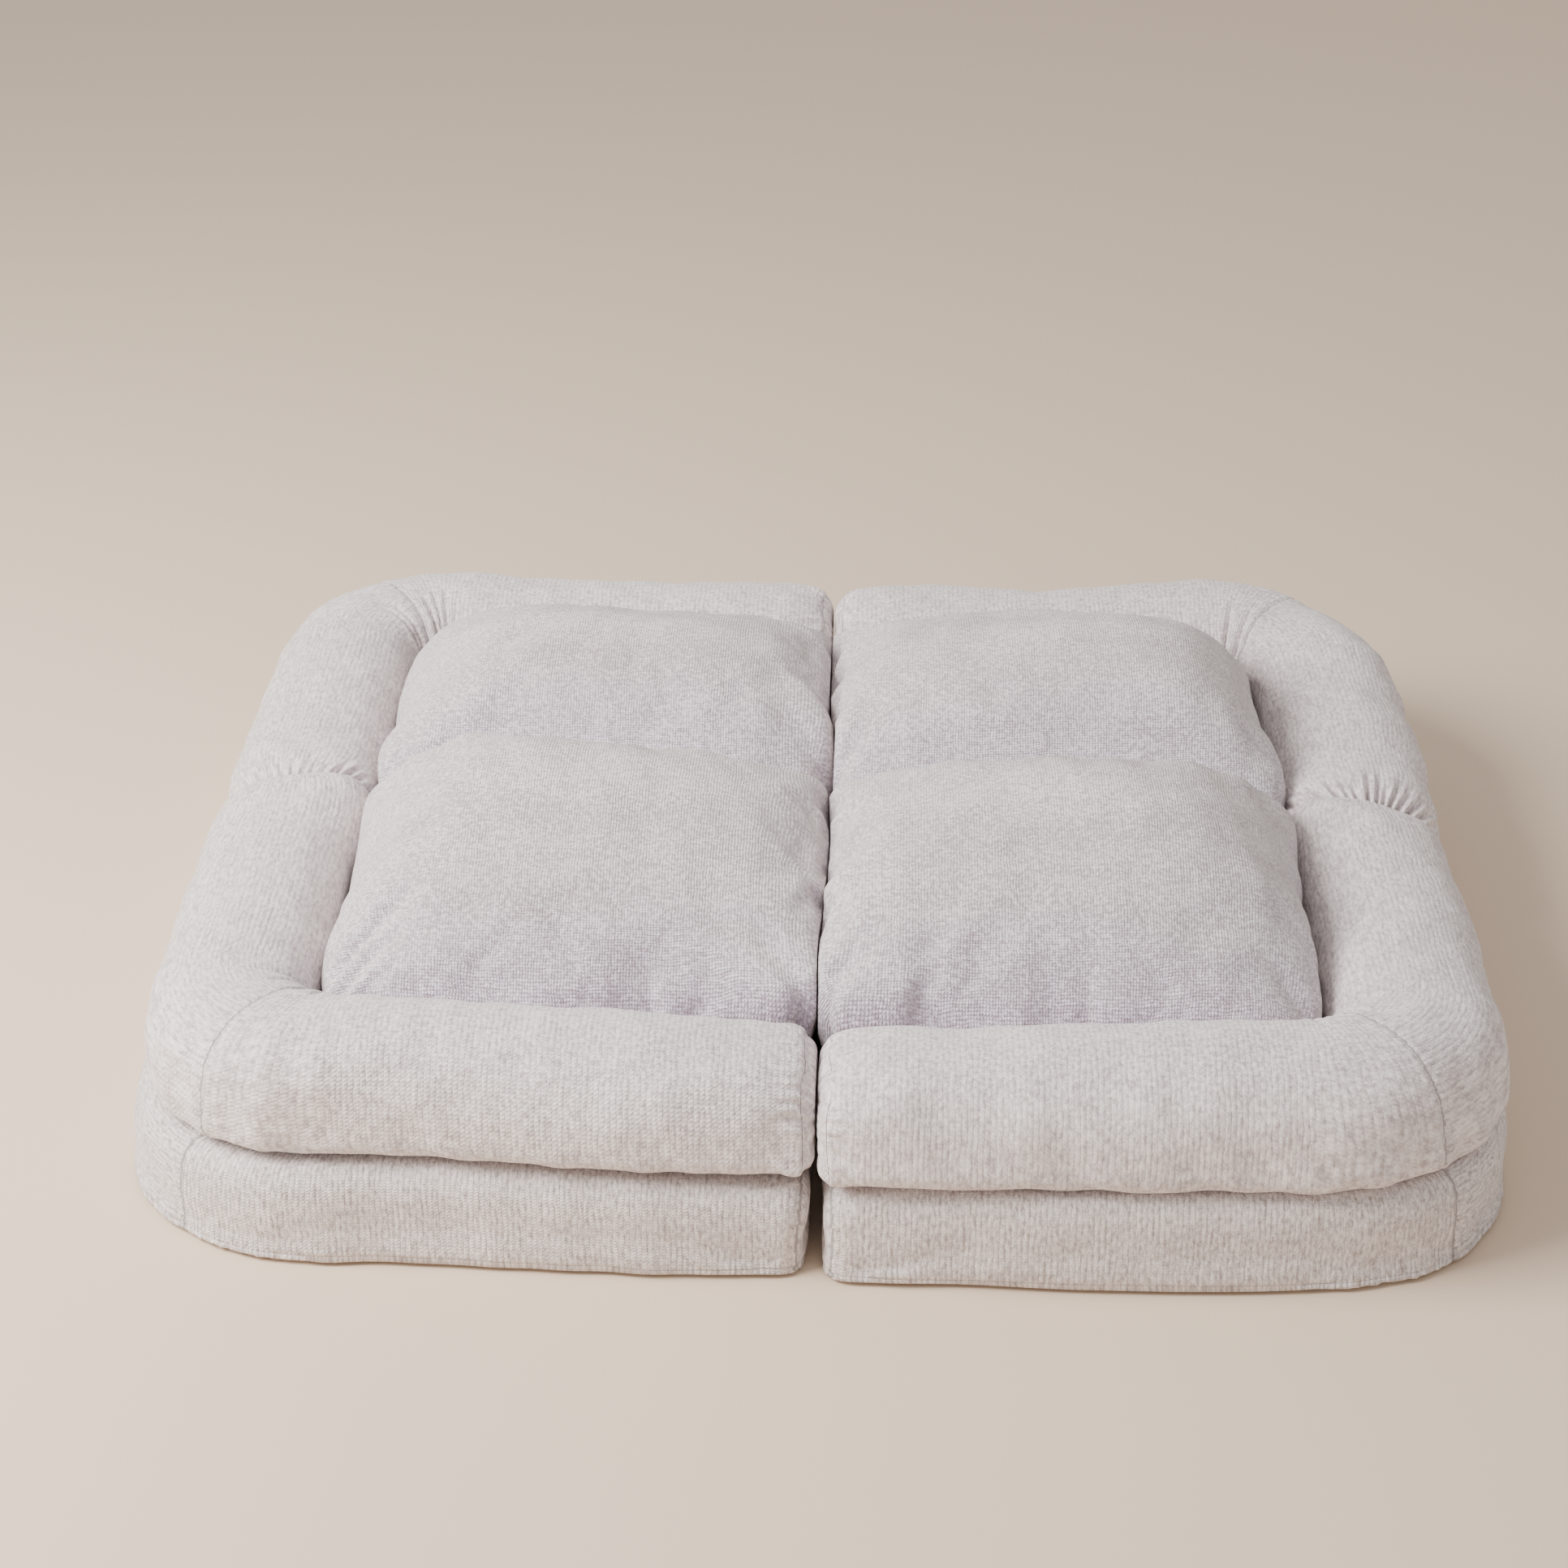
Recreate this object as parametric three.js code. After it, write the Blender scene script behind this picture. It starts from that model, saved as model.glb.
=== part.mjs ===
// Folding sofa bed of four padded quarters, in millimetres, +Z up.
// The origin lies on the floor under the middle of the bed: +X is to the right and -Y to the front.
// Each quarter has a boxed base, an L-shaped stuffed bolster on its two outer edges and a crowned cushion.
// The front and rear quarters of a half are sewn together at a fold welt, so the rear one lifts as a backrest.
// The left and right halves stand apart at the split.

import * as THREE from 'three';
import * as BufferGeometryUtils from 'three/addons/utils/BufferGeometryUtils.js';

// Overall size: the depth is that of one half, and the halves lie a little out of line
const BED_WIDTH = 1000;
const BED_DEPTH = 872;
const HALF_STAGGER = 5.5;
const SPLIT_GAP = 6;
const FOLD_GAP = 0.6;
const SEAT_GAP = 0.3;
const FABRIC = 2;

// Base
const BASE_HEIGHT = 72;
const BASE_CORNER = 165;
const BASE_INNER_CORNER = 12;
const BASE_TOP_ROUND = 16;
const BASE_TOP_PULL = 14;
const BASE_SPLIT_PULL = 8;
const BASE_FOOT_PULL = 2.5;
const FOAM_CLEARANCE = 1;
const SPLIT_LEAN = 7;
const BOTTOM_HEIGHT = 6;
const BOTTOM_SHEET = 1.5;
const BOTTOM_PULL = 6.5;
const CORNER_STEPS = 6;
const INNER_CORNER_STEPS = 2;
const BELLY_SHARE = 0.5;
const TOP_ROUND_SHARES = [[1, 0.05], [0.35, 0.3], [0.07, 0.65], [0, 1]];
const BOTTOM_ROUND_SHARES = [[0, 1], [0.4, 0.35], [1, 0]];

// Bolster
const BOLSTER_INSET = 12;
const BOLSTER_WIDTH = 124;
const BOLSTER_HEIGHT = 87;
const BOLSTER_FLAT = 1.8;
const BOLSTER_WAIST_SHARE = 0.39;
const BOLSTER_TOP_POWER = 2.2;
const BOLSTER_FOOT_POWER = 3.2;
const BOLSTER_SIDES = 16;
const BOLSTER_BEND_STEPS = 5;
const END_ROUND = 6;
const END_TUCK = 4;
const PINCH_LENGTH = 48;
const PINCH_DEPTH = 13;
const PINCH_SAG = 25;
const PINCH_SHARES = [1, 0.6, 0.3, 0.1];

// Cushion
const CUSHION_HEIGHT = 161;
const CUSHION_CLEARANCE = 0.4;
const CUSHION_FOOT_PULL = 8;
const CUSHION_CORNER_PULL = 11;
const CUSHION_DRAW = 4;
const CROWN_ROUND = 55;
const SPLIT_FALL = 41;
const SPLIT_FALL_REACH = 150;
const SIDE_FALL = 84;
const SIDE_FALL_REACH = 130;
const END_FALL_REACH = 175;
const SPLIT_FALL_POWER = 1.6;
const SIDE_FALL_POWER = 2.2;
const END_FALL_POWER = 1.59;
const FALL_BLEND_POWER = 2.2;
const CORNER_PULL_POWER = 6;
const DRAW_POWER = 4;
const CUSHION_COLUMN_SHARES = [0, 0.05, 0.14, 0.28, 0.45, 0.62, 0.76, 0.87, 0.95, 1];
const CROWN_ROW_SHARES = [0.25, 0.5, 1];
const CUSHION_ROW_SHARES = [0.28, 0.52, 0.73, 0.88, 0.96, 1];
const CUSHION_SIDE_SHARES = [0.5, 0];

// Fold
const FOLD_RISE = 83.7;
const FOLD_ANGLE = 75;
const WELT_RADIUS = 2;
const WELT_INSET = 24;
const WELT_SIDES = 10;

// Sizes that follow from the ones above
const HALF_WIDTH = BED_WIDTH / 2;
const HALF_DEPTH = BED_DEPTH / 2;
const SPLIT_FACE = SPLIT_GAP / 2;
const FOLD_FACE = FOLD_GAP / 2;
const LINING = FABRIC + SEAT_GAP;
const REST_HEIGHT = BASE_HEIGHT + SEAT_GAP;
const BASE_SHOULDER = BASE_HEIGHT - BASE_TOP_ROUND;
const BOLSTER_HALF = BOLSTER_WIDTH / 2;
const BOLSTER_WAIST = REST_HEIGHT + BOLSTER_HEIGHT * BOLSTER_WAIST_SHARE;
const BOLSTER_LINE_X = HALF_WIDTH - BOLSTER_INSET - BOLSTER_HALF;
const BOLSTER_LINE_Y = HALF_DEPTH - BOLSTER_INSET - BOLSTER_HALF;
const BOLSTER_BEND = BASE_CORNER - BOLSTER_INSET - BOLSTER_HALF;
const CUSHION_FAR_X = BOLSTER_LINE_X - BOLSTER_HALF - CUSHION_CLEARANCE;
const CUSHION_FAR_Y = BOLSTER_LINE_Y - BOLSTER_HALF - CUSHION_CLEARANCE;
const CROWN = REST_HEIGHT + CUSHION_HEIGHT;
const FOLD_HEIGHT = REST_HEIGHT + FOLD_RISE;
const FOLD_SLOPE = THREE.MathUtils.degToRad((180 - FOLD_ANGLE) / 2);
const FOLD_FALL = CROWN - FOLD_HEIGHT + (WELT_RADIUS + SEAT_GAP) / Math.cos(FOLD_SLOPE);
const RAMP = FOLD_FALL / Math.tan(FOLD_SLOPE) - CROWN_ROUND / 2;

const UP = new THREE.Vector3(0, 0, 1);
const ACROSS = new THREE.Vector3(1, 0, 0);

const chenille = { color: 0xd5cfd0, roughness: 0.95, metalness: 0 };
const basketWeave = { color: 0xd8d3d6, roughness: 0.9, metalness: 0 };
const underside = { color: 0xb9b2ae, roughness: 0.95, metalness: 0 };
const foam = { color: 0xefe4c4, roughness: 1, metalness: 0 };
const fibre = { color: 0xf3f1ec, roughness: 1, metalness: 0 };

function indexed(points, triangles) {
  const geometry = new THREE.BufferGeometry();
  const flat = points.flatMap((point) => point.toArray());
  geometry.setAttribute('position', new THREE.Float32BufferAttribute(flat, 3));
  geometry.setIndex(triangles);
  return geometry;
}

function pointsOf(geometry) {
  const position = geometry.getAttribute('position');
  return Array.from({ length: position.count }, (_, i) => new THREE.Vector3().fromBufferAttribute(position, i));
}

function average(points) {
  const sum = points.reduce((total, point) => total.add(point), new THREE.Vector3());
  return sum.divideScalar(points.length);
}

// A skin through rings of equal length, each anticlockwise when seen from the last ring's side.
function loft(rings, startCap, endCap) {
  const count = rings[0].length;
  const points = rings.flat();
  const triangles = [];
  for (let i = 0; i + 1 < rings.length; i += 1) {
    for (let j = 0; j < count; j += 1) {
      const a = i * count + j;
      const b = i * count + (j + 1) % count;
      triangles.push(a, b, b + count, a, b + count, a + count);
    }
  }
  const last = (rings.length - 1) * count;
  if (startCap) {
    const centre = points.push(average(rings[0])) - 1;
    for (let j = 0; j < count; j += 1) triangles.push(centre, (j + 1) % count, j);
  }
  if (endCap) {
    const centre = points.push(average(rings[rings.length - 1])) - 1;
    for (let j = 0; j < count; j += 1) triangles.push(centre, last + j, last + (j + 1) % count);
  }
  return indexed(points, triangles);
}

// The directed edges round an open skin's one opening.
function rim(triangles) {
  const edges = new Map();
  for (let i = 0; i < triangles.length; i += 3) {
    for (let k = 0; k < 3; k += 1) {
      const from = triangles[i + k];
      const to = triangles[i + (k + 1) % 3];
      if (!edges.delete(`${to} ${from}`)) edges.set(`${from} ${to}`, [from, to]);
    }
  }
  return [...edges.values()];
}

// The normals at a skin's points, with each face weighed by its angle there.
function cornerNormals(points, triangles) {
  const normals = points.map(() => new THREE.Vector3());
  for (let i = 0; i < triangles.length; i += 3) {
    const corners = [0, 1, 2].map((k) => points[triangles[i + k]]);
    const face = new THREE.Triangle(...corners).getNormal(new THREE.Vector3());
    for (let k = 0; k < 3; k += 1) {
      const one = corners[(k + 1) % 3].clone().sub(corners[k]);
      const other = corners[(k + 2) % 3].clone().sub(corners[k]);
      normals[triangles[i + k]].addScaledVector(face, one.angleTo(other));
    }
  }
  return normals.map((normal) => normal.normalize());
}

// The points of a skin moved inwards along its normals. Its rim stays in the plane of the opening.
function insetPoints(skin, distance, openingAxis) {
  const points = pointsOf(skin);
  const triangles = Array.from(skin.getIndex().array);
  const normals = cornerNormals(points, triangles);
  for (const [from] of rim(triangles)) normals[from].projectOnPlane(openingAxis).normalize();
  return points.map((point, i) => point.addScaledVector(normals[i], -distance));
}

// A fabric cover: an open skin with a wall inside it.
function cover(skin, wall, openingAxis) {
  const outer = pointsOf(skin);
  const inner = insetPoints(skin, wall, openingAxis);
  const triangles = Array.from(skin.getIndex().array);
  const faces = [...triangles];
  for (let i = 0; i < triangles.length; i += 3) {
    faces.push(triangles[i] + outer.length, triangles[i + 2] + outer.length, triangles[i + 1] + outer.length);
  }
  for (const [from, to] of rim(triangles)) {
    faces.push(to, from, from + outer.length, to, from + outer.length, to + outer.length);
  }
  return indexed([...outer, ...inner], faces);
}

// What fills a cover: its skin moved inwards and closed flat across the opening.
function filling(skin, distance, openingAxis) {
  const points = insetPoints(skin, distance, openingAxis);
  const triangles = Array.from(skin.getIndex().array);
  const edges = rim(triangles);
  const centre = points.push(average(edges.map(([from]) => points[from]))) - 1;
  for (const [from, to] of edges) triangles.push(centre, to, from);
  return indexed(points, triangles);
}

// A quarter circle round a corner, both ends included. It starts at that many quarter turns from +X.
function cornerArc(centreX, centreY, radius, quarters, steps, height) {
  return Array.from({ length: steps + 1 }, (_, i) => {
    const angle = (quarters + i / steps) * Math.PI / 2;
    return new THREE.Vector3(centreX + radius * Math.cos(angle), centreY + radius * Math.sin(angle), height);
  });
}

// How far the base's wall at the split leans back at a height.
function lean(height) {
  const share = (BASE_SHOULDER - height) / (BASE_SHOULDER - BOTTOM_HEIGHT);
  return SPLIT_LEAN * THREE.MathUtils.clamp(share, 0, 1);
}

// The base's outline at a height, with its two outer and its two inner sides pulled in.
function baseRing(height, outerPull, innerPull) {
  const nearX = SPLIT_FACE + lean(height) + innerPull;
  const nearY = FOLD_FACE + innerPull;
  const farX = HALF_WIDTH - outerPull;
  const farY = HALF_DEPTH - outerPull;
  const small = BASE_INNER_CORNER;
  const large = BASE_CORNER - outerPull;
  return [
    ...cornerArc(nearX + small, nearY + small, small, 2, INNER_CORNER_STEPS, height),
    ...cornerArc(farX - small, nearY + small, small, 3, INNER_CORNER_STEPS, height),
    ...cornerArc(farX - large, farY - large, large, 0, CORNER_STEPS, height),
    ...cornerArc(nearX + small, farY - small, small, 1, INNER_CORNER_STEPS, height),
  ];
}

function baseSkin() {
  const top = TOP_ROUND_SHARES.map(([down, pull]) => {
    return baseRing(BASE_HEIGHT - down * BASE_TOP_ROUND, pull * BASE_TOP_PULL, pull * BASE_SPLIT_PULL);
  });
  return loft([
    baseRing(BOTTOM_HEIGHT + SEAT_GAP, BASE_FOOT_PULL, 0),
    baseRing(BASE_HEIGHT * BELLY_SHARE, 0, 0),
    ...top,
  ], false, true);
}

function bottomSkin() {
  const rings = BOTTOM_ROUND_SHARES.map(([up, pull]) => {
    return baseRing(up * BOTTOM_HEIGHT, BASE_FOOT_PULL + pull * BOTTOM_PULL, pull * BOTTOM_PULL);
  });
  return loft(rings, true, false);
}

// A plain block that keeps clear of the cover's wall and of the bottom's rounded edge.
function foamBlock() {
  const room = FABRIC + FOAM_CLEARANCE;
  const foot = BOTTOM_SHEET + SEAT_GAP;
  const footPull = BASE_FOOT_PULL + BOTTOM_PULL + foot;
  return loft([
    baseRing(foot, footPull, footPull),
    baseRing(BOTTOM_HEIGHT + room, BASE_FOOT_PULL + room, room),
    baseRing(BASE_SHOULDER, BASE_FOOT_PULL + room, room),
    baseRing(BASE_HEIGHT - LINING, BASE_TOP_PULL + room, BASE_SPLIT_PULL + room),
  ], true, true);
}

// The bolster's section: x is how far out from its line and y how far above the base.
function bolsterSection() {
  const waist = BOLSTER_HEIGHT * BOLSTER_WAIST_SHARE;
  return Array.from({ length: BOLSTER_SIDES }, (_, i) => {
    const angle = i / BOLSTER_SIDES * 2 * Math.PI;
    const power = 2 / (Math.sin(angle) < 0 ? BOLSTER_FOOT_POWER : BOLSTER_TOP_POWER);
    const out = Math.sign(Math.cos(angle)) * Math.abs(Math.cos(angle)) ** power;
    const up = Math.sign(Math.sin(angle)) * Math.abs(Math.sin(angle)) ** power;
    const reach = up < 0 ? waist + BOLSTER_FLAT : BOLSTER_HEIGHT - waist;
    return new THREE.Vector2(out * BOLSTER_HALF, Math.max(waist + up * reach, 0));
  });
}

// The section at a place of the line. It sags and its outer side draws in by shares of the pinch at the fold.
function bolsterRing(place, outward, pinchShare, tuck) {
  const pinch = PINCH_DEPTH * pinchShare;
  const narrow = 1 - (pinch / 2 + tuck) / BOLSTER_HALF;
  const low = 1 - (PINCH_SAG * pinchShare + tuck) / BOLSTER_HEIGHT;
  return bolsterSection().map((point) => {
    const ringPoint = new THREE.Vector3(place.x, place.y, REST_HEIGHT + point.y * low);
    return ringPoint.addScaledVector(outward, point.x * narrow - pinch / 2);
  });
}

function bolsterRingAtSplit(x, tuck) {
  return bolsterRing(new THREE.Vector2(x, BOLSTER_LINE_Y), new THREE.Vector3(0, 1, 0), 0, tuck);
}

// How much of the pinch is left at a distance from the fold.
function pinchShare(distance) {
  return 1 - Math.sin(Math.min(distance / PINCH_LENGTH, 1) * Math.PI / 2);
}

function bolsterSkin() {
  const start = SPLIT_FACE + LINING;
  const rings = [bolsterRingAtSplit(start, END_TUCK), bolsterRingAtSplit(start + END_ROUND, 0)];
  for (let i = 0; i <= BOLSTER_BEND_STEPS; i += 1) {
    const angle = Math.PI / 2 * (1 - i / BOLSTER_BEND_STEPS);
    const outward = new THREE.Vector3(Math.cos(angle), Math.sin(angle), 0);
    const place = new THREE.Vector2(
      BOLSTER_LINE_X + BOLSTER_BEND * (outward.x - 1),
      BOLSTER_LINE_Y + BOLSTER_BEND * (outward.y - 1),
    );
    rings.push(bolsterRing(place, outward, 0, 0));
  }
  for (const share of [...PINCH_SHARES, 0]) {
    const distance = FOLD_FACE + share * PINCH_LENGTH;
    const place = new THREE.Vector2(BOLSTER_LINE_X, distance);
    rings.push(bolsterRing(place, ACROSS, pinchShare(distance), 0));
  }
  return loft(rings, false, true);
}

function endPanel() {
  const rings = [bolsterRingAtSplit(SPLIT_FACE, END_TUCK), bolsterRingAtSplit(SPLIT_FACE + FABRIC, END_TUCK)];
  return loft(rings, true, true);
}

// How much of the crown is missing at a distance from an edge.
function fall(distance, drop, reach, power) {
  return drop * Math.max(1 - distance / reach, 0) ** power;
}

// From the fold the cushion climbs a straight ramp, which a parabola rounds into the crown.
function foldFall(distance) {
  const slope = Math.tan(FOLD_SLOPE);
  const left = Math.max(RAMP + CROWN_ROUND - distance, 0);
  if (distance > RAMP) return slope * left ** 2 / (2 * CROWN_ROUND);
  return FOLD_FALL - slope * distance;
}

function cushionTop(x, y) {
  const falls = [
    foldFall(y),
    fall(x - SPLIT_FACE, SPLIT_FALL, SPLIT_FALL_REACH, SPLIT_FALL_POWER),
    fall(CUSHION_FAR_X - x, SIDE_FALL, SIDE_FALL_REACH, SIDE_FALL_POWER),
    fall(CUSHION_FAR_Y - y, SIDE_FALL, END_FALL_REACH, END_FALL_POWER),
  ];
  const total = falls.reduce((sum, value) => sum + value ** FALL_BLEND_POWER, 0) ** (1 / FALL_BLEND_POWER);
  return CROWN - total;
}

// A point of the cushion's top. The corners are rounded, and the sides at the bolster drawn in between them.
function cushionPoint(x, y) {
  const middleX = (SPLIT_FACE + CUSHION_FAR_X) / 2;
  const middleY = (FOLD_FACE + CUSHION_FAR_Y) / 2;
  const across = (x - middleX) / (CUSHION_FAR_X - middleX);
  const along = (y - middleY) / (CUSHION_FAR_Y - middleY);
  const corner = CUSHION_CORNER_PULL * Math.abs(across * along) ** CORNER_PULL_POWER;
  const drawX = CUSHION_DRAW * (1 - along ** 2) * Math.max(across, 0) ** DRAW_POWER;
  const drawY = CUSHION_DRAW * (1 - across ** 2) * Math.max(along, 0) ** DRAW_POWER;
  const pullY = along > 0 ? corner + drawY : 0;
  return new THREE.Vector3(x - Math.sign(across) * corner - drawX, y - pullY, cushionTop(x, y));
}

function cushionSkin() {
  const depth = CUSHION_FAR_Y - FOLD_FACE;
  const crownLine = RAMP + CROWN_ROUND;
  const columnLines = CUSHION_COLUMN_SHARES.map((share) => SPLIT_FACE + share * (CUSHION_FAR_X - SPLIT_FACE));
  const rowLines = [
    FOLD_FACE,
    RAMP,
    ...CROWN_ROW_SHARES.map((share) => RAMP + share * CROWN_ROUND),
    ...CUSHION_ROW_SHARES.map((share) => crownLine + share * (FOLD_FACE + depth - crownLine)),
  ];
  const columns = columnLines.length;
  const points = rowLines.flatMap((y) => columnLines.map((x) => cushionPoint(x, y)));
  const triangles = [];
  for (let row = 0; row + 1 < rowLines.length; row += 1) {
    for (let column = 0; column + 1 < columns; column += 1) {
      const a = row * columns + column;
      triangles.push(a, a + 1, a + columns + 1, a, a + columns + 1, a + columns);
    }
  }
  return withSides(points, triangles);
}

// Adds a cushion's sides below the border of its top, drawn in towards the foot.
function withSides(points, triangles) {
  const next = new Map(rim(triangles));
  const border = [next.keys().next().value];
  while (border.length < next.size) border.push(next.get(border[border.length - 1]));
  const centre = average(border.map((i) => points[i]));
  let upper = border;
  for (const share of CUSHION_SIDE_SHARES) {
    const lower = border.map((i) => {
      const point = points[i].clone();
      const inward = centre.clone().sub(point).setZ(0).normalize();
      if (share === 0) point.addScaledVector(inward, CUSHION_FOOT_PULL);
      point.z = REST_HEIGHT + (point.z - REST_HEIGHT) * share;
      return points.push(point) - 1;
    });
    for (let j = 0; j < border.length; j += 1) {
      const k = (j + 1) % border.length;
      triangles.push(lower[j], lower[k], upper[k], lower[j], upper[k], upper[j]);
    }
    upper = lower;
  }
  return indexed(points, triangles);
}

function foldWelt() {
  const length = CUSHION_FAR_X - SPLIT_FACE - 2 * WELT_INSET;
  return new THREE.CylinderGeometry(WELT_RADIUS, WELT_RADIUS, length, WELT_SIDES).rotateZ(Math.PI / 2);
}

// A quarter is modelled to the right and the rear. The others are its mirror images.
function mirrored(geometry, side, end) {
  const bare = geometry.clone().scale(side, end, 1);
  bare.deleteAttribute('normal');
  bare.deleteAttribute('uv');
  const merged = BufferGeometryUtils.mergeVertices(bare);
  if (side * end < 0) {
    const corners = Array.from(merged.getIndex().array);
    for (let i = 0; i < corners.length; i += 3) {
      [corners[i + 1], corners[i + 2]] = [corners[i + 2], corners[i + 1]];
    }
    merged.setIndex(corners);
  }
  merged.computeVertexNormals();
  return merged;
}

function node(name, geometry, finish) {
  const mesh = new THREE.Mesh(geometry, new THREE.MeshStandardMaterial(finish));
  mesh.name = name;
  return mesh;
}

function baseGroup(name, side, end) {
  const group = new THREE.Group();
  group.add(
    node(`${name}_base_cover`, mirrored(cover(baseSkin(), FABRIC, UP), side, end), chenille),
    node(`${name}_base_foam`, mirrored(foamBlock(), side, end), foam),
    node(`${name}_base_bottom`, mirrored(cover(bottomSkin(), BOTTOM_SHEET, UP), side, end), underside),
  );
  return group;
}

function bolsterGroup(name, side, end) {
  const group = new THREE.Group();
  const skin = bolsterSkin();
  group.add(
    node(`${name}_bolster_cover`, mirrored(cover(skin, FABRIC, ACROSS), side, end), chenille),
    node(`${name}_bolster_filling`, mirrored(filling(skin, LINING, ACROSS), side, end), fibre),
    node(`${name}_bolster_end_panel`, mirrored(endPanel(), side, end), chenille),
  );
  return group;
}

function cushionGroup(name, side, end) {
  const group = new THREE.Group();
  const skin = cushionSkin();
  group.add(
    node(`${name}_cushion_cover`, mirrored(cover(skin, FABRIC, UP), side, end), basketWeave),
    node(`${name}_cushion_filling`, mirrored(filling(skin, LINING, UP), side, end), fibre),
  );
  return group;
}

function quarterGroup(name, side, end) {
  const group = new THREE.Group();
  group.add(baseGroup(name, side, end), bolsterGroup(name, side, end), cushionGroup(name, side, end));
  return group;
}

function halfGroup(name, side) {
  const group = new THREE.Group();
  const welt = node(`fold_welt_${name}`, mirrored(foldWelt(), 1, 1), basketWeave);
  welt.position.set(side * (SPLIT_FACE + CUSHION_FAR_X) / 2, 0, FOLD_HEIGHT);
  group.add(quarterGroup(`front_${name}`, side, -1), quarterGroup(`rear_${name}`, side, 1), welt);
  group.position.y = -side * HALF_STAGGER;
  return group;
}

const sofaBed = new THREE.Group();
sofaBed.add(halfGroup('left', -1), halfGroup('right', 1));

export default sofaBed;
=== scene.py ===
import math

import bmesh
import bpy
import numpy as np
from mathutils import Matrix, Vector


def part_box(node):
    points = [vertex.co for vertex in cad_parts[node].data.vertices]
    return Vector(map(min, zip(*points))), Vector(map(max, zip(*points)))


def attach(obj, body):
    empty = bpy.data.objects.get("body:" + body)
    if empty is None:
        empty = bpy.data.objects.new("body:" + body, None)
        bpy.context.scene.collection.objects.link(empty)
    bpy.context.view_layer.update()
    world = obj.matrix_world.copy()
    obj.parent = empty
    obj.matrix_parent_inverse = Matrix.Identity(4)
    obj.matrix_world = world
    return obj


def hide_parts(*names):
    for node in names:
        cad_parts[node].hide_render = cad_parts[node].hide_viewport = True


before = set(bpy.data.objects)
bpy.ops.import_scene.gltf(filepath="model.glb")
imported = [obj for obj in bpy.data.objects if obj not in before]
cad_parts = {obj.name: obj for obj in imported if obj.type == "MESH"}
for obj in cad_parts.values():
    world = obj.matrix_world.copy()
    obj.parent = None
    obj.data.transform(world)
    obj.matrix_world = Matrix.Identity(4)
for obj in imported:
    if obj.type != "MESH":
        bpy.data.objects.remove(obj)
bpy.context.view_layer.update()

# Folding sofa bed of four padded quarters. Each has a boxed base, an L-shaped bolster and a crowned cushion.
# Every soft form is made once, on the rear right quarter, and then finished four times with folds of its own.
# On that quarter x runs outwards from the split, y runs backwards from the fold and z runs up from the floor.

MM = 0.001
SCENE = bpy.context.scene

# Camera, fitted to the outline in the photo
CAMERA_PLACE = (0.0314, -2.1419, 1.3096)
CAMERA_YAW = -0.0305
CAMERA_PITCH = 0.4934
CAMERA_LENS = 70.86
SENSOR_WIDTH = 36

# Light, and the floor that catches the shadow
KEY_PLACE = (-1.75, -0.7, 1.75)
KEY_TARGET = (-0.1, -0.1, 0.1)
KEY_SIZE = 1.3
KEY_POWER = 120
KEY_COLOUR = (1.0, 0.97, 0.93)
WORLD_STRENGTH = 0.73
WORLD_COLOUR = "#fbf6f2"
FLOOR_SIZE = 14
FLOOR_COLOUR = "#e4cfb9"

# Cloth: the pitch of ribs, stitches and woven dots, the lavender tint of painted shade on front slopes, and
# the tint of brushed marks
WALE_PITCH = 4.0 * MM
STITCH_PITCH = 2.6 * MM
THREAD_PITCH = 2.1 * MM
SLOPE_SHADE_TINT = "#f0ecff"
NAP_TINT = "#dcd2cc"

# Remeshing, and the cloth simulation that swells each form, with the furthest that a point may move
BOLSTER_VOXEL = 4 * MM
CUSHION_VOXEL = 5 * MM
BASE_VOXEL = 5.5 * MM
WELT_VOXEL = 1.0 * MM
EDGE_RISE = 14 * MM
SWELL_FRAMES = 20
SWELL_CLOTH = {
    "quality": 5,
    "mass": 0.3,
    "tension_stiffness": 15,
    "compression_stiffness": 15,
    "shear_stiffness": 5,
    "bending_stiffness": 0.5,
    "use_pressure": True,
    "uniform_pressure_force": 4,
}
BOLSTER_CAP = 5 * MM
CUSHION_CAP = 9 * MM
BASE_CAP = 3.5 * MM

# Fills
BOLSTER_FILL = 0.85
CUSHION_FILL = 0.8
BASE_FILL = 0.95

# Cloth's thickness, and the gaps from a piece to its neighbour and to the plane of the split
FABRIC = 2.3 * MM
CLEARANCE = 0.3 * MM
TOUCH = 0.7 * MM
CUSHION_TOUCH = 0.6 * MM

# Sewn seams
SEAM_DEPTH = 1.5 * MM
SEAM_WIDTH = 1.7 * MM

# Bolster: the radius of its bend, its width, the height of its middle and the radius of its section
BOLSTER_BEND = 91 * MM
BOLSTER_WIDTH = 124 * MM
BOLSTER_WAIST = 106 * MM
BOLSTER_ROUND = 53 * MM
BOLSTER_MITRE = math.radians(36)
BOLSTER_RIPPLES = ((1.7, 120), (0.7, 34))
FOLD_DETAIL = 40 * MM
END_DETAIL = 20 * MM

# Bolster's end at the split
END_SEAM = 9 * MM
END_SEAM_WOBBLE = 1.4 * MM
END_PUCKER_PITCH = 13 * MM
END_REACH = 48 * MM
END_DRAW = 14 * MM
END_DOME = 3 * MM

# Bolster's end at the fold
FOLD_FULL_REACH = 30 * MM
FOLD_FULL_LOW = 86 * MM
FOLD_FULL_RISE = 30 * MM
GATHER_PITCH = 10.5 * MM
GATHER_DEPTH = 5.2 * MM
GATHER_WIDTH = 2.1 * MM
GATHER_LENGTHS = (24 * MM, 52 * MM)
GATHER_SPREAD = 1.75 * BOLSTER_ROUND
GATHER_LEAN = 0.35

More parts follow.
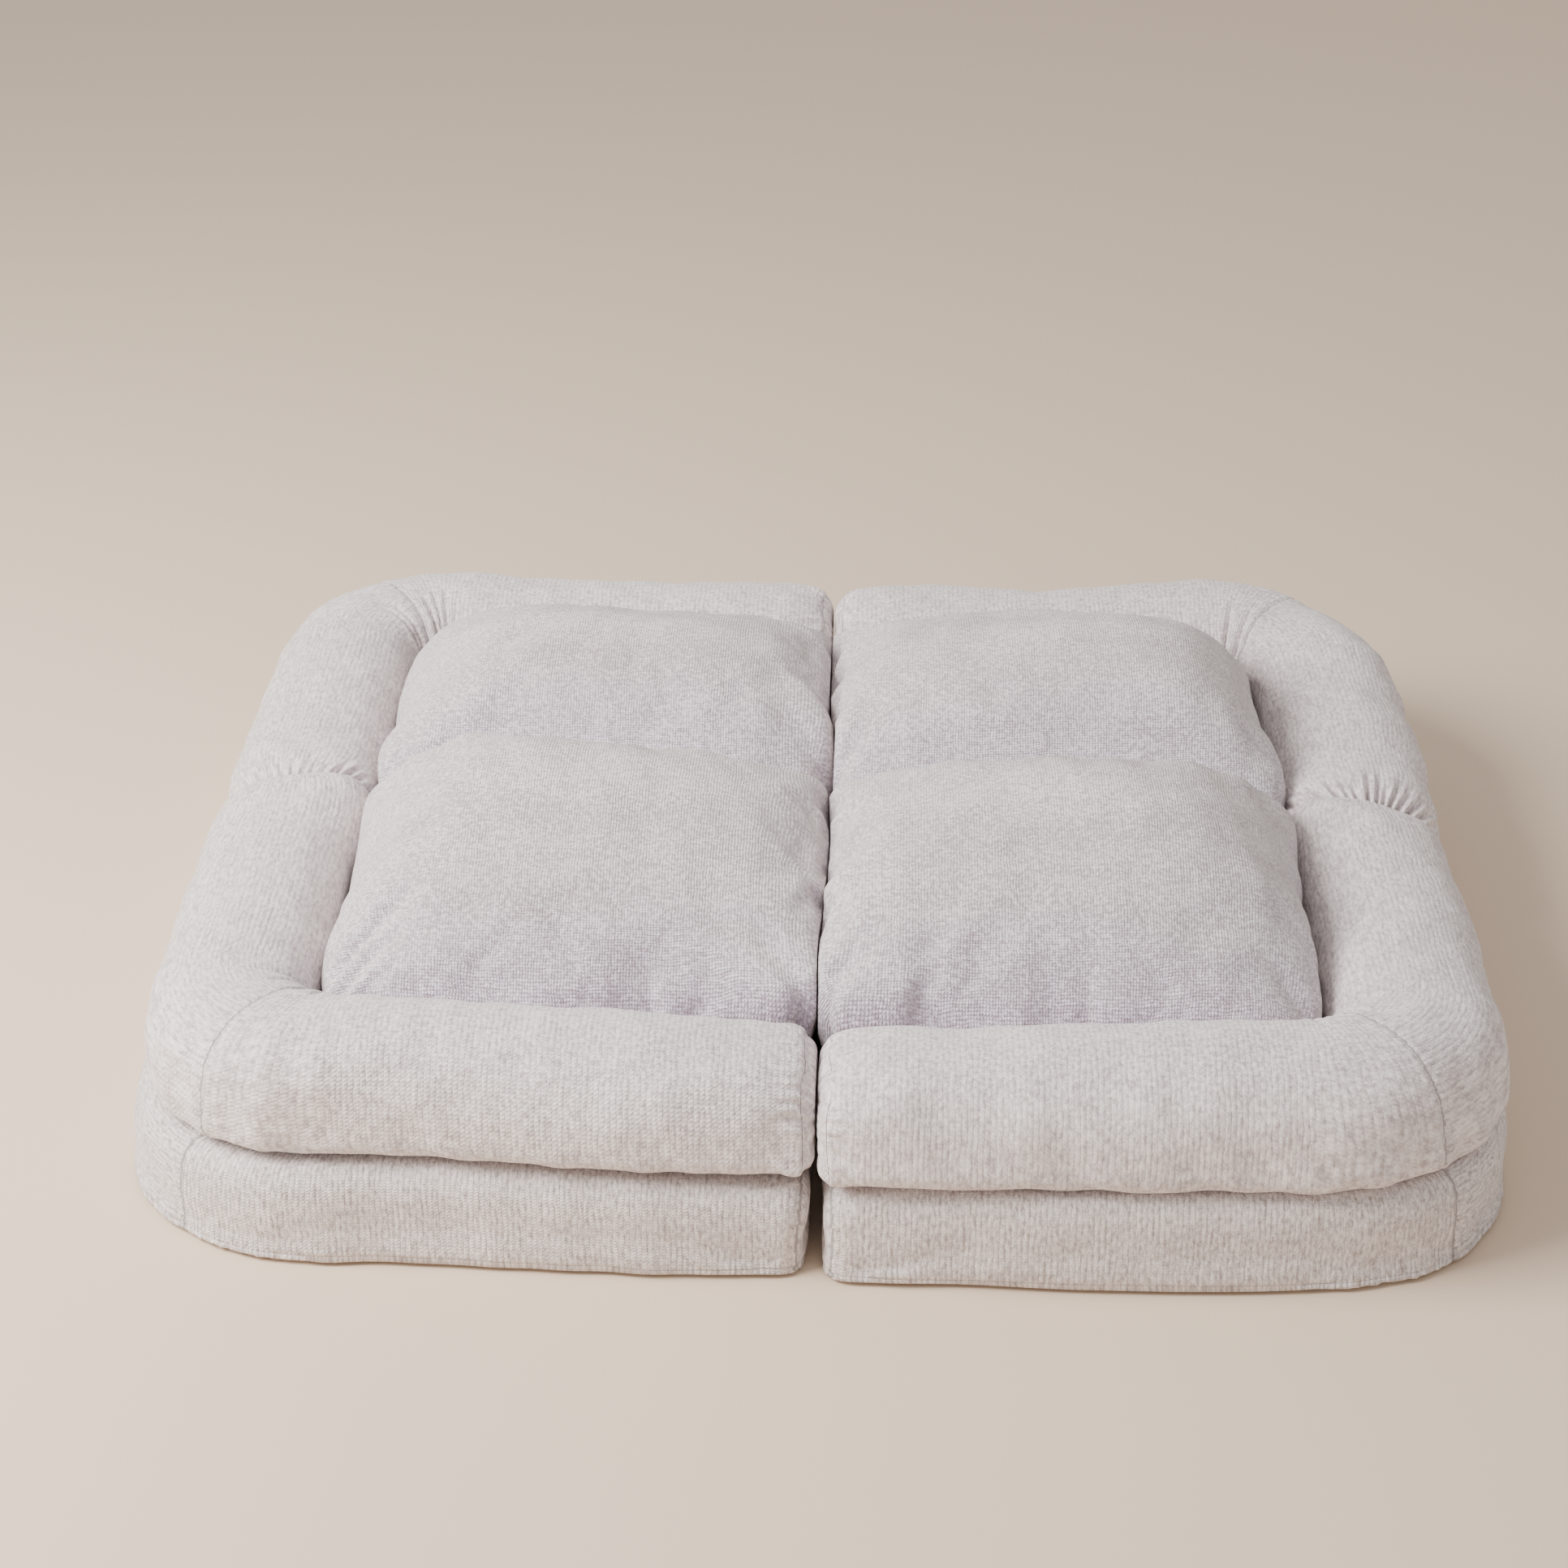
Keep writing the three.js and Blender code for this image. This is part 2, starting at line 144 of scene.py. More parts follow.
# Bolster's overhang at the base's edge, and the pleats of its bend
BELLY_PUSH = 7 * MM
BELLY_HEIGHT = 84 * MM
BELLY_REACH = 15 * MM
BELLY_RISE = 40 * MM
PLEAT_DEPTH = 5.2 * MM
PLEAT_WIDTH = 2.2 * MM
PLEAT_START = 8 * MM
PLEAT_RISE = 45 * MM
PLEAT_DROP = 25 * MM
MITRE_PUCKER = 0.6 * MM
MITRE_PUCKER_PITCH = 11 * MM

# Cushion
CUSHION_RIPPLES = ((2.4, 150), (0.8, 45))
SIDE_PUSH = 5 * MM
SIDE_REACH = 45 * MM
EDGE_PUCKER = 1.5 * MM
EDGE_REACH = 40 * MM
SPLIT_SWINGS = ((-120, 80, 4), (50, 45, 5), (-260, 60, -2))
WEAVE_TURN = 60 * MM

# Base
BASE_CORNER = 165 * MM
BASE_HEIGHT = 72 * MM
BASE_MITRE = math.radians(41)
BASE_RIPPLES = ((1.3, 150), (0.6, 40))
SPLIT_LEAN = 5 * MM
SPLIT_FACE = 20 * MM
SPLIT_NORMAL = -0.7
UNDERSIDE_NORMAL = -0.6
BAND_HEIGHT = 8 * MM
RIM_LIFT = 4.5 * MM
RIM_REACH = 22 * MM
RIM_HEIGHT = 5 * MM
RIM_PUSH = 3 * MM
SEAM_START = 140 * MM
SEAM_RISE = 10 * MM

# Fold: a cushion stays under the ramp that rises backwards from the hinge line
FOLD_HEIGHT = 156 * MM
FOLD_SLOPE = 1.303
FOLD_SEAT = 3.8 * MM
FOLD_PRESS = 1.2 * MM

QUARTERS = {"front_left": (-1, -1), "front_right": (1, -1), "rear_left": (-1, 1), "rear_right": (1, 1)}


def linear(hexadecimal):
    """The linear colour of an sRGB hex value."""
    parts = [int(hexadecimal[i : i + 2], 16) / 255 for i in (1, 3, 5)]
    return (*[c / 12.92 if c <= 0.04045 else ((c + 0.055) / 1.055) ** 2.4 for c in parts], 1)


# Materials


def add_node(material, kind, inputs=None, links=None, **settings):
    """Adds a node with its settings, its input values and what its inputs are linked from."""
    node = material.node_tree.nodes.new(kind)
    for name, value in settings.items():
        setattr(node, name, value)
    for name, value in (inputs or {}).items():
        node.inputs[name].default_value = value
    for name, output in (links or {}).items():
        material.node_tree.links.new(output, node.inputs[name])
    return node


def new_material(name):
    material = bpy.data.materials.new(name)
    material.use_nodes = True
    material.node_tree.nodes.clear()
    return material


def maths(material, operation, first, second=None, third=None):
    """A math node on outputs or numbers."""
    node = add_node(material, "ShaderNodeMath", operation=operation)
    for socket, value in zip(node.inputs, (first, second, third)):
        if value is None:
            continue
        if isinstance(value, bpy.types.NodeSocket):
            material.node_tree.links.new(value, socket)
        else:
            socket.default_value = value
    return node.outputs[0]


def tinted(material, colour, attribute, tint, share):
    """The colour turned towards a tint by one of the piece's own attributes."""
    where = add_node(material, "ShaderNodeAttribute", attribute_name=attribute, attribute_type="GEOMETRY")
    node = add_node(material, "ShaderNodeMix", data_type="RGBA", blend_type="MULTIPLY")
    material.node_tree.links.new(maths(material, "MULTIPLY", where.outputs["Fac"], share), node.inputs[0])
    material.node_tree.links.new(colour, node.inputs[6])
    node.inputs[7].default_value = linear(tint)
    return node.outputs[2]


def finish_cloth(material, colour, height, strength, distance, roughness, sheen):
    """Ends a cloth material: its colour and thread height go to a rough shader with a soft sheen."""
    bump = add_node(
        material, "ShaderNodeBump", {"Strength": strength, "Distance": distance}, {"Height": height}
    )
    shader = add_node(
        material,
        "ShaderNodeBsdfPrincipled",
        {"Roughness": roughness, "Sheen Weight": sheen, "Sheen Roughness": 0.5, "Specular IOR Level": 0.25},
        {"Base Color": colour, "Normal": bump.outputs[0]},
    )
    add_node(material, "ShaderNodeOutputMaterial", links={"Surface": shader.outputs[0]})
    return material


def weave_place(material):
    """The place on the cloth in metres, whole and as its first two parts, from the piece's own attribute."""
    place = add_node(material, "ShaderNodeAttribute", attribute_name="weave", attribute_type="GEOMETRY")
    parts = add_node(material, "ShaderNodeSeparateXYZ", links={"Vector": place.outputs["Vector"]})
    return place.outputs["Vector"], parts.outputs[0], parts.outputs[1]


def noise(material, vector, scale, detail=2.0, roughness=0.5, stretch=(1, 1, 1)):
    """Noise whose features are about 1/scale metres wide."""
    mapping = add_node(
        material, "ShaderNodeMapping", {"Scale": tuple(scale * s for s in stretch)}, {"Vector": vector}
    )
    node = add_node(
        material,
        "ShaderNodeTexNoise",
        {"Scale": 1.0, "Detail": detail, "Roughness": roughness},
        {"Vector": mapping.outputs[0]},
    )
    return node.outputs[0]


def summed(material, *terms):
    """The sum of outputs, each times its weight."""
    total = maths(material, "MULTIPLY", *terms[0])
    for output, weight in terms[1:]:
        total = maths(material, "MULTIPLY_ADD", output, weight, total)
    return total


def ridges(material, turns):
    """Rounded ridges, one for each whole turn."""
    return maths(material, "ABSOLUTE", maths(material, "SINE", maths(material, "MULTIPLY", turns, math.pi)))


def mixed(material, factor, dark, light):
    """A colour between two hex values."""
    node = add_node(material, "ShaderNodeMix", data_type="RGBA")
    material.node_tree.links.new(factor, node.inputs[0])
    node.inputs[6].default_value = linear(dark)
    node.inputs[7].default_value = linear(light)
    return node.outputs[2]


def shaded(material, tone, darkest, lightest, dark, light):
    """The colour that turns from dark to light between two values of the tone."""
    limits = {"From Min": darkest, "From Max": lightest}
    shades = add_node(material, "ShaderNodeMapRange", limits, {"Value": tone})
    return mixed(material, shades.outputs[0], dark, light)


def chenille(name, light, dark, wale_depth):
    """Chenille upholstery: fat pile threads in soft ribs, each a little uneven, with a brushed bloom."""
    material = new_material(name)
    vector, along, across = weave_place(material)
    drift = maths(material, "MULTIPLY", noise(material, vector, 60), 0.9)
    turns = maths(material, "MULTIPLY_ADD", along, 1 / WALE_PITCH, drift)
    wale = maths(material, "POWER", ridges(material, turns), 0.7)
    lean = maths(material, "MULTIPLY", maths(material, "FRACT", turns), 3.6)
    stitch = maths(material, "MULTIPLY_ADD", across, 2 * math.pi / STITCH_PITCH, lean)
    stitch = maths(material, "MULTIPLY_ADD", maths(material, "SINE", stitch), 0.5, 0.5)
    tuft = noise(material, vector, 900, detail=3, roughness=0.6)
    slub = noise(material, vector, 150, detail=3, roughness=0.6, stretch=(3, 0.35, 1))
    stitch = maths(material, "MULTIPLY", stitch, maths(material, "MULTIPLY", slub, 1.6))
    height = summed(material, (wale, wale_depth), (stitch, 0.5), (tuft, 0.6))
    bloom = noise(material, vector, 16, detail=4, roughness=0.6)
    heather = noise(material, vector, 290, roughness=0.8, stretch=(1, 0.55, 1))
    tone = summed(material, (height, 0.26), (slub, 0.7), (bloom, 0.28), (heather, 2.2))
    colour = shaded(material, tone, 1.36, 2.17, dark, light)
    return finish_cloth(
        material, colour, height, strength=0.8, distance=0.9 * MM, roughness=0.95, sheen=0.35
    )


def basket_weave(name, light, dark):
    """Fine basket-woven chenille: square dots of pile, brushed into lighter and darker patches."""
    material = new_material(name)
    vector, along, across = weave_place(material)
    drift = maths(material, "MULTIPLY", noise(material, vector, 80), 1.1)
    dots = 1.0
    for direction in (along, across):
        turns = maths(material, "MULTIPLY_ADD", direction, 1 / THREAD_PITCH, drift)
        dots = maths(material, "MULTIPLY", ridges(material, turns), dots)
    tuft = noise(material, vector, 800, detail=3, roughness=0.6)
    height = maths(material, "MULTIPLY_ADD", tuft, 0.5, dots)
    bloom = noise(material, vector, 14, detail=5, roughness=0.62, stretch=(0.7, 1.2, 1))
    streak = noise(material, vector, 260, detail=3, roughness=0.6, stretch=(0.25, 2.2, 1))
    heather = noise(material, vector, 320, roughness=0.8)
    tone = summed(material, (height, 0.45), (streak, 0.6), (bloom, 0.7), (heather, 3.6))
    colour = shaded(material, tone, 2.42, 3.16, dark, light)
    # Painted shade: a lavender tint on faces that turn towards the front, by the lean attribute
    colour = tinted(material, colour, "lean", SLOPE_SHADE_TINT, 0.8)
    colour = tinted(material, colour, "nap", NAP_TINT, 0.35)
    return finish_cloth(
        material, colour, height, strength=0.9, distance=0.7 * MM, roughness=0.95, sheen=0.35
    )


def plain_cloth(name, light, dark, scale):
    """A plain matt cloth with a fine grain."""
    material = new_material(name)
    place = add_node(material, "ShaderNodeTexCoord").outputs["Object"]
    grain = noise(material, place, scale, detail=4, roughness=0.6)
    colour = mixed(material, grain, dark, light)
    return finish_cloth(material, colour, grain, strength=0.4, distance=0.5 * MM, roughness=0.9, sheen=0.1)


# Forms


def points_of(mesh):
    flat = np.empty(len(mesh.vertices) * 3, np.float32)
    mesh.vertices.foreach_get("co", flat)
    return flat.reshape(-1, 3).astype(float)


def normals_of(mesh):
    flat = np.empty(len(mesh.vertices) * 3, np.float32)
    mesh.vertices.foreach_get("normal", flat)
    return flat.reshape(-1, 3).astype(float)


def put_points(mesh, points):
    mesh.vertices.foreach_set("co", points.astype(np.float32).ravel())
    mesh.update()


def set_value(mesh, name, values):
    attribute = mesh.attributes.new(name, "FLOAT", "POINT")
    attribute.data.foreach_set("value", values.astype(np.float32))


def set_weave(mesh, places):
    """Each point's place on the flat cloth, across the ribs first and then along them, in metres."""
    attribute = mesh.attributes.get("weave") or mesh.attributes.new("weave", "FLOAT_VECTOR", "POINT")
    attribute.data.foreach_set("vector", places.astype(np.float32).ravel())


def applied(thing):
    """The object's mesh with its modifiers applied."""
    graph = bpy.context.evaluated_depsgraph_get()
    return bpy.data.meshes.new_from_object(thing.evaluated_get(graph))


def new_object(name, mesh):
    thing = bpy.data.objects.new(name, mesh)
    SCENE.collection.objects.link(thing)
    return thing


def half_middle(side):
    """Where the fold of a half lies along the bed."""
    name = "left" if side < 0 else "right"
    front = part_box(f"front_{name}_base_cover")[1].y
    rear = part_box(f"rear_{name}_base_cover")[0].y
    return (front + rear) / 2


def modified(mesh, kind, **settings):
    """The mesh after one modifier."""
    thing = new_object("form", mesh)
    modifier = thing.modifiers.new("step", kind)
    for name, value in settings.items():
        setattr(modifier, name, value)
    result = applied(thing)
    bpy.data.objects.remove(thing)
    return result


def relaxed(mesh, rounds, low):
    """The mesh with its edges rounded off above a height."""
    ends = np.empty(len(mesh.edges) * 2, np.int32)
    mesh.edges.foreach_get("vertices", ends)
    first, second = ends.reshape(-1, 2).T
    points = points_of(mesh)
    starts, stops = np.concatenate([first, second]), np.concatenate([second, first])
    neighbours = np.bincount(starts, minlength=len(points))
    share = eased((points[:, 2] - low) / EDGE_RISE)
    for _ in range(rounds):
        for axis in range(3):
            middle = np.bincount(starts, weights=points[stops, axis], minlength=len(points)) / neighbours
            points[:, axis] += 0.5 * share * (middle - points[:, axis])
    put_points(mesh, points)
    return mesh


def skin(nodes, voxel, rounds, low):
    """An even, rounded skin over copies of solids, moved so that the fold lies in the plane y = 0."""
    solid = bmesh.new()
    for node in nodes:
        solid.from_mesh(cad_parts[f"rear_right_{node}"].data)
    bmesh.ops.remove_doubles(solid, verts=solid.verts, dist=CLEARANCE / 10)
    bmesh.ops.translate(solid, verts=solid.verts, vec=(0, -half_middle(1), 0))
    mesh = bpy.data.meshes.new(nodes[0])
    solid.to_mesh(mesh)
    solid.free()
    mesh = modified(mesh, "REMESH", mode="VOXEL", voxel_size=voxel)
    return relaxed(mesh, rounds, low)


def finer(mesh, fold_reach, split_reach):
    """The mesh with its faces halved near the fold and near the split."""
    form = bmesh.new()
    form.from_mesh(mesh)
    near = [
        edge
        for edge in form.edges
        if max(v.co.y for v in edge.verts) < fold_reach or max(v.co.x for v in edge.verts) < split_reach
    ]
    bmesh.ops.subdivide_edges(form, edges=near, cuts=1, use_grid_fill=True)
    form.to_mesh(mesh)
    form.free()
    return mesh


def swollen(mesh, cap, foot):
    """Cloth under pressure from inside, held below the foot's height. No point moves past the cap."""
    start = points_of(mesh)
    thing = new_object("swelling", mesh)
    held = thing.vertex_groups.new(name="held")
    held.add([int(i) for i in np.nonzero(start[:, 2] < foot)[0]], 1.0, "REPLACE")
    cloth = thing.modifiers.new("padding", "CLOTH")
    for name, value in SWELL_CLOTH.items():
        setattr(cloth.settings, name, value)
    cloth.settings.effector_weights.gravity = 0
    cloth.settings.vertex_group_mass = "held"
    cloth.point_cache.frame_start = 1
    cloth.point_cache.frame_end = SWELL_FRAMES
    for step in range(1, SWELL_FRAMES + 1):
        SCENE.frame_set(step)
    result = applied(thing)
    bpy.data.objects.remove(thing)
    SCENE.frame_set(1)
    move = points_of(result) - start
    length = np.linalg.norm(move, axis=1, keepdims=True)
    put_points(result, start + move * np.minimum(1, cap / np.maximum(length, 1e-9)))
    return result


def swollen_form(nodes, voxel, rounds, low, cap, foot):
    """The soft form of some of the rear right quarter's solids, with finer faces."""
    form = swollen(skin(nodes, voxel, rounds, low), cap, foot)
    return modified(form, "SUBSURF", levels=1, render_levels=1)


def ripple(points, wavelength, seed, count=14):
    """Smooth random unevenness between about -1 and 1, with waves of about one length."""
    random = np.random.default_rng(seed)
    total = np.zeros(len(points))
    for _ in range(count):
        direction = random.normal(size=3)
        direction /= np.linalg.norm(direction)
        turns = 2 * math.pi / (wavelength * random.uniform(0.75, 1.4))
        total += np.sin(points @ direction * turns + random.uniform(0, 2 * math.pi))
    return total / math.sqrt(count)


def unevenness(points, ripples, seed):
    """The sum of several ripples: each has its height and its wavelength in millimetres."""
    waves = enumerate(ripples)
    return sum(height * MM * ripple(points, length * MM, seed + index) for index, (height, length) in waves)


def bumps(points, table):
    """Broad dents and bulges: each has its middle, its reach and its push, all in millimetres."""
    total = np.zeros_like(points)
    for middle, reach, push in table:
        away = ((points - np.array(middle) * MM) ** 2).sum(axis=1) / (reach * MM) ** 2
        total += np.exp(-away)[:, None] * np.array(push) * MM
    return total


def creases(points, table):
    """Short folds seen from above: each has its two ends, its width and its depth in millimetres."""
    total = np.zeros(len(points))
    for start, stop, width, depth in table:
        start, stop = np.array(start) * MM, np.array(stop) * MM
        line = stop - start
        share = np.clip((points[:, :2] - start) @ line / (line @ line), 0, 1)
        away = np.linalg.norm(points[:, :2] - start - share[:, None] * line, axis=1)
        total -= depth * MM * groove(away, width * MM * (1 + share)) * (1 - share * share)
    return total


def groove(distance, width):
    """A bell curve, 1 on the line and almost 0 at twice the width."""
    return np.exp(-((distance / width) ** 2))


def beside(distance, away, width):
    """A groove on each side of a line."""
    return groove(np.abs(distance) - away, width)


def eased(value):
    """From 0 to 1, with soft ends."""
    value = np.clip(value, 0, 1)
    return value * value * (3 - 2 * value)


# Bolster


def bolster_line():
    """The straight lines that the bolster's middle follows: x of the side one and y of the end one."""
    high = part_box("rear_right_bolster_cover")[1]
    return high.x - BOLSTER_WIDTH / 2, high.y - half_middle(1) - BOLSTER_WIDTH / 2


def bolster_place(points):
    """How far along the bolster, how far round it, how far from its line, and the angle round its bend."""
    line_x, line_y = bolster_line()
    bend_x, bend_y = line_x - BOLSTER_BEND, line_y - BOLSTER_BEND
    x, y, z = points.T
    angle = np.arctan2(x - bend_x, y - bend_y)
    radius = np.hypot(x - bend_x, y - bend_y)
    in_bend = (x > bend_x) & (y > bend_y)
    before = (x <= bend_x) & (y > bend_y - BOLSTER_BEND)
    along = np.where(
        in_bend,
        bend_x + BOLSTER_BEND * angle,
        np.where(before, x, bend_x + BOLSTER_BEND * math.pi / 2 + bend_y - y),
    )
    out = np.where(in_bend, radius - BOLSTER_BEND, np.where(before, y - line_y, x - line_x))
    turn = np.arctan2(z - BOLSTER_WAIST, out)
    return along, turn * BOLSTER_ROUND, out, np.where(in_bend, angle, np.where(before, 0, math.pi / 2))


def gathers(points, seed):
    """Creases that fan out from the pinched end at the fold."""
    _, around, _, _ = bolster_place(points)
    distance = points[:, 1]
    random = np.random.default_rng(seed)
    depth = np.zeros(len(points))
    middle = math.pi / 2 * BOLSTER_ROUND
    place = middle - GATHER_SPREAD
    while place < middle + GATHER_SPREAD:
        length = random.uniform(*GATHER_LENGTHS)
        lean = GATHER_LEAN * (place - middle) / GATHER_SPREAD + random.uniform(-0.08, 0.08)
        across = around - place - lean * distance
        fade = eased(1 - distance / length)
        depth += groove(across, GATHER_WIDTH * (1 + distance / length)) * fade * random.uniform(0.6, 1.2)
        depth -= 0.35 * groove(across - GATHER_PITCH / 2, 0.3 * GATHER_PITCH) * fade
        place += GATHER_PITCH * random.uniform(0.75, 1.25)
    return -GATHER_DEPTH * depth


def bend_pleats(points, places, seed):
    """Creases on the inner side of the bend, where the cloth has less way to go."""
    _, _, out, angle = bolster_place(points)
    random = np.random.default_rng(seed)
    inner = eased((-out - PLEAT_START) / PLEAT_RISE) * (points[:, 2] > BOLSTER_WAIST - PLEAT_DROP)
    depth = np.zeros(len(points))
    for place, strength in places:
        across = (angle - place) * BOLSTER_BEND * 0.7 + random.uniform(-0.1, 0.1) * out
        depth += strength * (groove(across, PLEAT_WIDTH) - 0.3 * beside(across, 6 * MM, 4 * MM))
    return -depth * inner * PLEAT_DEPTH


def mitre(points, share, seed):
    """The sewn seam across the bend, with small puckers beside it."""
    _, around, out, angle = bolster_place(points)
    away = (angle - BOLSTER_MITRE) * (BOLSTER_BEND + out)
    wave = np.sin(around / MITRE_PUCKER_PITCH * 2 * math.pi + 2 * ripple(points, 50 * MM, seed))
    pucker = MITRE_PUCKER * wave * beside(away, 6 * MM, 5 * MM)
    return share * (pucker - SEAM_DEPTH * groove(away, SEAM_WIDTH))


# What differs between the quarters. Places are in millimetres on the rear right quarter.

FOLD_LIFTS = {"front_left": 17 * MM, "front_right": 17 * MM, "rear_left": 8 * MM, "rear_right": 8 * MM}
GATHER_SHARES = {"front_left": 0.12, "front_right": 0.12, "rear_left": 1.1, "rear_right": 1.2}
SEAM_SHARES = {"front_left": 0.25, "front_right": 0.7, "rear_left": 0.8, "rear_right": 0.8}
END_SHARES = {"front_left": 1.6, "front_right": 0.7, "rear_left": 1.0, "rear_right": 1.0}
NAP_MARKS = {
    "front_left": [((205, 245), (60, 28), 0.9), ((120, 70), (70, 24), 0.5), ((300, 150), (24, 60), 0.4)],
    "front_right": [((240, 75), (85, 26), 1.0), ((100, 210), (40, 40), 0.6), ((300, 180), (30, 60), 0.5)],
    "rear_left": [((180, 90), (90, 30), 0.8), ((70, 200), (40, 50), 0.7), ((290, 210), (40, 30), 0.6)],
    "rear_right": [((90, 160), (40, 60), 0.9), ((250, 120), (70, 30), 0.7), ((200, 240), (60, 24), 0.5)],
}
BOLSTER_BUMPS = {
    "front_left": [
        ((300, 380, 115), 110, (0, -9, 3)),
        ((20, 350, 150), 80, (0, 0, -8)),
        ((150, 425, 85), 90, (0, 3, 1)),
        ((440, 350, 150), 70, (1, 1, 3)),
        ((460, 385, 88), 80, (0, 3, -2)),
        ((470, 120, 130), 60, (1, 0, 2)),
        ((488, 300, 115), 90, (-3, 0, 0)),
        ((18, 420, 118), 16, (0, -5, 0)),
        ((22, 405, 90), 18, (0, -3, -2)),
    ],
    "front_right": [
        ((190, 420, 88), 120, (0, 3, -1)),
        ((30, 350, 150), 80, (0, 0, -7)),
        ((330, 350, 150), 90, (0, -5, 4)),
        ((430, 400, 90), 80, (4, 4, -3)),
        ((90, 400, 130), 35, (0, -3, -1)),
        ((14, 424, 112), 14, (0, -5, 0)),
        ((20, 430, 92), 12, (0, -4, 0)),
    ],
    "rear_left": [
        ((150, 380, 150), 120, (0, -3, -4)),
        ((400, 330, 150), 80, (2, 2, 3)),
        ((270, 360, 150), 35, (0, -1, -3)),
    ],
    "rear_right": [
        ((335, 380, 150), 80, (0, 3, 7)),
        ((445, 330, 110), 60, (-4, -4, 0)),
        ((480, 150, 110), 90, (4, 0, 0)),
        ((180, 370, 155), 50, (0, 0, -3)),
    ],
}
CUSHION_BUMPS = {
    "front_left": [
        ((60, 90, 200), 100, (0, 0, -7)),
        ((210, 130, 230), 110, (0, 0, 3)),
        ((300, 60, 190), 60, (0, 0, 3)),
    ],
    "front_right": [
        ((60, 90, 200), 90, (0, 0, -3)),
        ((250, 200, 180), 70, (0, 2, 3)),
        ((140, 120, 230), 60, (0, 0, -3)),
    ],
    "rear_left": [((150, 150, 220), 140, (0, 0, -5)), ((290, 220, 170), 70, (0, 0, 4))],
    "rear_right": [
        ((290, 200, 200), 90, (0, 0, 4)),
        ((120, 100, 220), 90, (0, 0, -3)),
        ((300, 60, 170), 60, (3, 0, 3)),
    ],
}
CUSHION_CORNER = [((10, 290, 130), 45, (-8, 7, 8)), ((345, 15, 125), 55, (4, 0, 18))]
BOLSTER_INNER_FOLD = [((375, 5, 128), 45, (-5, 0, 14))]
CUSHION_CREASES = {
    "front_left": [
        ((356, 292), (296, 254), 5, 10),
        ((348, 268), (286, 226), 5, 8),
        ((330, 292), (296, 278), 4, 4),
        ((20, 290), (60, 240), 6, 5),
        ((8, 200), (50, 190), 6, 4),
        ((120, 292), (128, 255), 6, 3),
    ],
    "front_right": [
        ((356, 292), (310, 250), 6, 5),
        ((356, 230), (316, 215), 6, 3),
        ((70, 292), (84, 246), 7, 4),
        ((6, 292), (46, 250), 7, 6),
        ((190, 292), (186, 262), 6, 3),
    ],
    "rear_left": [
        ((356, 292), (310, 262), 5, 6),
        ((8, 20), (50, 60), 7, 5),
        ((30, 292), (60, 240), 6, 4),
        ((356, 100), (320, 112), 6, 4),
    ],
    "rear_right": [
        ((356, 292), (318, 256), 5, 5),
        ((8, 20), (46, 66), 7, 5),
        ((356, 40), (310, 60), 6, 4),
        ((60, 292), (90, 250), 6, 3),
    ],
}
BASE_BUMPS = {
    "front_left": [
        ((465, 375, 30), 110, (2, 1, 0)),
        ((290, 436, 40), 110, (0, -9, 0)),
        ((20, 420, 72), 80, (0, 0, -6)),
        ((120, 440, 40), 40, (0, 2, 0)),
    ],
    "front_right": [
        ((495, 250, 40), 90, (-5, 0, 0)),
        ((350, 436, 30), 80, (0, -6, 0)),
        ((20, 420, 72), 80, (0, 0, -5)),
        ((60, 436, 10), 120, (0, -7, 0)),
    ],
    "rear_left": [((300, 436, 40), 90, (0, 3, 0))],
    "rear_right": [((500, 200, 40), 90, (3, 0, 0))],
}
PLEATS = {
    "front_left": [(0.35, 0.8), (0.6, 0.7), (0.95, 0.9), (1.25, 0.6)],
    "front_right": [(0.2, 0.7), (0.55, 0.9), (0.85, 0.8), (1.2, 0.9)],
    "rear_left": [(0.12, 1.0), (0.3, 1.2), (0.45, 1.1), (0.9, 0.8), (1.0, 0.9)],
    "rear_right": [(0.25, 1.0), (0.5, 0.8), (1.1, 0.7)],
}


def dress_bolster(mesh, quarter, seed):
    points, normals = points_of(mesh), normals_of(mesh)
    along, around, out, angle = bolster_place(points)
    shift = unevenness(points, BOLSTER_RIPPLES, seed)
    seam = mitre(points, SEAM_SHARES[quarter], seed + 5)
    shift += GATHER_SHARES[quarter] * gathers(points, seed + 2) + seam
    shift += bend_pleats(points, PLEATS[quarter], seed + 3)
    end = points[:, 0] - END_SEAM
    pucker = np.sin(around / END_PUCKER_PITCH * 2 * math.pi + 2.5 * ripple(points, 60 * MM, seed + 4))
    dents = 1.5 * pucker * groove(end - 6 * MM, 9 * MM) - 1.9 * groove(end, 1.9 * MM)
    shift += END_SHARES[quarter] * MM * dents
    points = points + normals * (shift + FABRIC)[:, None] + bumps(points, BOLSTER_BUMPS[quarter])
    points += belly(points, out, angle) + rounded_end(points) + full_fold(points, out, quarter)
    points += bumps(points, BOLSTER_INNER_FOLD)
    points[:, 0] = np.maximum(points[:, 0], TOUCH)
    points[:, 1] = np.maximum(points[:, 1], CLEARANCE)
    points[:, 2] = np.maximum(points[:, 2], base_top(points, quarter) + CLEARANCE)
    put_points(mesh, points)
    beyond = angle > BOLSTER_MITRE
    set_weave(mesh, np.stack([np.where(beyond, around, along), np.where(beyond, along, around), out], axis=1))
    return mesh


def belly(points, out, angle):
    """How far the bolster's lower outer side hangs out over the edge of the base."""
    push = BELLY_PUSH * groove(points[:, 2] - BELLY_HEIGHT, BELLY_REACH) * eased(out / BELLY_RISE)
    return np.stack([push * np.sin(angle), push * np.cos(angle), -0.3 * push], axis=1)


